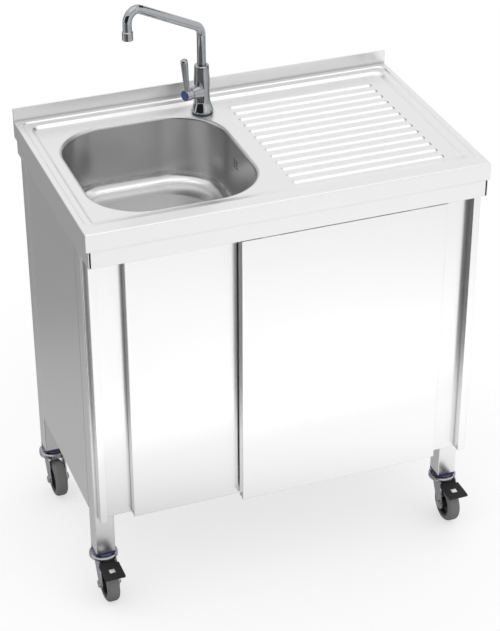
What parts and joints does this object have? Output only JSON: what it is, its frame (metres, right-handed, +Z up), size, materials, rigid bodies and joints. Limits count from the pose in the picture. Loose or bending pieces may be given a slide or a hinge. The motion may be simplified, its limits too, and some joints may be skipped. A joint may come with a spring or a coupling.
{
  "type": "portable sink",
  "caption": "Portable stainless-steel sink on casters: bowl, ribbed drainer and swivel tap over a cabinet with sliding doors, water cans and a pump.",
  "frame": {"origin": "on the floor under the middle of the object's box", "axes": "+Z up, +X to the right when facing the doors, the doors face -Y"},
  "size_m": [0.81, 0.506, 1.1309],
  "materials": {
    "brushed_steel": "fine brushed",
    "satin_steel": "satin",
    "track_aluminium": "extruded",
    "chrome": "polished",
    "nut_brass": "machined",
    "index_blue": "gloss",
    "seal_rubber": "matt",
    "nylon_white": "matt",
    "pipe_white": "gloss",
    "can_natural": "moulded",
    "can_grey": "moulded",
    "cap_blue": "moulded",
    "cap_black": "moulded",
    "pump_black": "moulded",
    "hose_clear": "smooth",
    "battery_case": "moulded",
    "cable_black": "matt",
    "plug_violet": "moulded",
    "zinc_steel": "zinc plated",
    "hub_black": "moulded",
    "tyre_grey": "matt",
    "pedal_black": "moulded"
  },
  "bodies": {
    "cabinet": {"worktop": "brushed_steel", "sink_bowl": "satin_steel", "top_frame": "brushed_steel", "side_panel_left": "brushed_steel", "side_panel_right": "brushed_steel", "back_panel": "brushed_steel", "bottom_shelf": "brushed_steel", "left_jamb": "brushed_steel", "right_jamb": "brushed_steel", "door_track": "track_aluminium", "door_guide": "track_aluminium", "strainer_body": "satin_steel", "waste_pipe": "pipe_white", "overflow_pipe": "pipe_white", "tap_body": "chrome", "tap_seal": "seal_rubber", "tap_backnut": "nut_brass", "fresh_can": "can_natural", "fresh_can_cap": "cap_blue", "waste_can": "can_grey", "waste_can_cap": "cap_black", "pump": "pump_black", "suction_hose": "hose_clear", "riser_hose": "hose_clear", "battery_pack": "battery_case", "power_cable": "cable_black", "leg_plugs": "plug_violet", "caster_kingpins": "zinc_steel", "leg_front_left": "brushed_steel", "leg_front_right": "brushed_steel", "leg_rear_left": "brushed_steel", "leg_rear_right": "brushed_steel"},
    "inner_door": {"left_door": "brushed_steel", "left_door_gliders": "nylon_white"},
    "outer_door": {"right_door": "brushed_steel", "right_door_gliders": "nylon_white"},
    "spout": {"tap_spout": "chrome", "tap_aerator": "chrome"},
    "lever": {"tap_lever": "chrome", "tap_index": "index_blue"},
    "basket": {"strainer_basket": "satin_steel"},
    "caster_front_left": {"fork_front_left": "zinc_steel", "axle_front_left": "zinc_steel"},
    "wheel_front_left": {"hub_front_left": "hub_black", "tyre_front_left": "tyre_grey"},
    "brake_front_left": {"pedal_front_left": "pedal_black"},
    "caster_front_right": {"fork_front_right": "zinc_steel", "axle_front_right": "zinc_steel"},
    "wheel_front_right": {"hub_front_right": "hub_black", "tyre_front_right": "tyre_grey"},
    "brake_front_right": {"pedal_front_right": "pedal_black"},
    "caster_rear_left": {"fork_rear_left": "zinc_steel", "axle_rear_left": "zinc_steel"},
    "wheel_rear_left": {"hub_rear_left": "hub_black", "tyre_rear_left": "tyre_grey"},
    "caster_rear_right": {"fork_rear_right": "zinc_steel", "axle_rear_right": "zinc_steel"},
    "wheel_rear_right": {"hub_rear_right": "hub_black", "tyre_rear_right": "tyre_grey"}
  },
  "joints": [
    {"name": "inner_door_slide", "type": "slide", "parent": "cabinet", "child": "inner_door", "axis": [1, 0, 0], "range_m": [-0.0545, 0.265]},
    {"name": "outer_door_slide", "type": "slide", "parent": "cabinet", "child": "outer_door", "axis": [1, 0, 0], "range_m": [-0.275, 0.0545]},
    {"name": "spout_swivel", "type": "hinge", "parent": "cabinet", "child": "spout", "pos_m": [-0.032, 0.173, 0.95], "axis": [0, 0, 1], "continuous": true},
    {"name": "lever_turn", "type": "hinge", "parent": "cabinet", "child": "lever", "pos_m": [-0.032, 0.173, 0.906], "axis": [0.9252, 0.3795, 0], "range_deg": [0, 90]},
    {"name": "basket_lift", "type": "slide", "parent": "cabinet", "child": "basket", "axis": [0, 0, 1], "range_m": [0, 0.01]},
    {"name": "caster_front_left_swivel", "type": "hinge", "parent": "cabinet", "child": "caster_front_left", "pos_m": [-0.376, -0.17, 0.098], "axis": [0, 0, 1], "continuous": true},
    {"name": "wheel_front_left_roll", "type": "hinge", "parent": "caster_front_left", "child": "wheel_front_left", "pos_m": [-0.376, -0.202, 0.04], "axis": [1, 0, 0], "continuous": true},
    {"name": "brake_front_left_press", "type": "hinge", "parent": "caster_front_left", "child": "brake_front_left", "pos_m": [-0.376, -0.186, 0.086], "axis": [1, 0, 0], "range_deg": [0, 7.5]},
    {"name": "caster_front_right_swivel", "type": "hinge", "parent": "cabinet", "child": "caster_front_right", "pos_m": [0.376, -0.17, 0.098], "axis": [0, 0, 1], "continuous": true},
    {"name": "wheel_front_right_roll", "type": "hinge", "parent": "caster_front_right", "child": "wheel_front_right", "pos_m": [0.376, -0.202, 0.04], "axis": [1, 0, 0], "continuous": true},
    {"name": "brake_front_right_press", "type": "hinge", "parent": "caster_front_right", "child": "brake_front_right", "pos_m": [0.376, -0.186, 0.086], "axis": [1, 0, 0], "range_deg": [0, 7.5]},
    {"name": "caster_rear_left_swivel", "type": "hinge", "parent": "cabinet", "child": "caster_rear_left", "pos_m": [-0.376, 0.208, 0.098], "axis": [0, 0, 1], "continuous": true},
    {"name": "wheel_rear_left_roll", "type": "hinge", "parent": "caster_rear_left", "child": "wheel_rear_left", "pos_m": [-0.376, 0.176, 0.04], "axis": [1, 0, 0], "continuous": true},
    {"name": "caster_rear_right_swivel", "type": "hinge", "parent": "cabinet", "child": "caster_rear_right", "pos_m": [0.376, 0.208, 0.098], "axis": [0, 0, 1], "continuous": true},
    {"name": "wheel_rear_right_roll", "type": "hinge", "parent": "caster_rear_right", "child": "wheel_rear_right", "pos_m": [0.376, 0.176, 0.04], "axis": [1, 0, 0], "continuous": true}
  ]
}
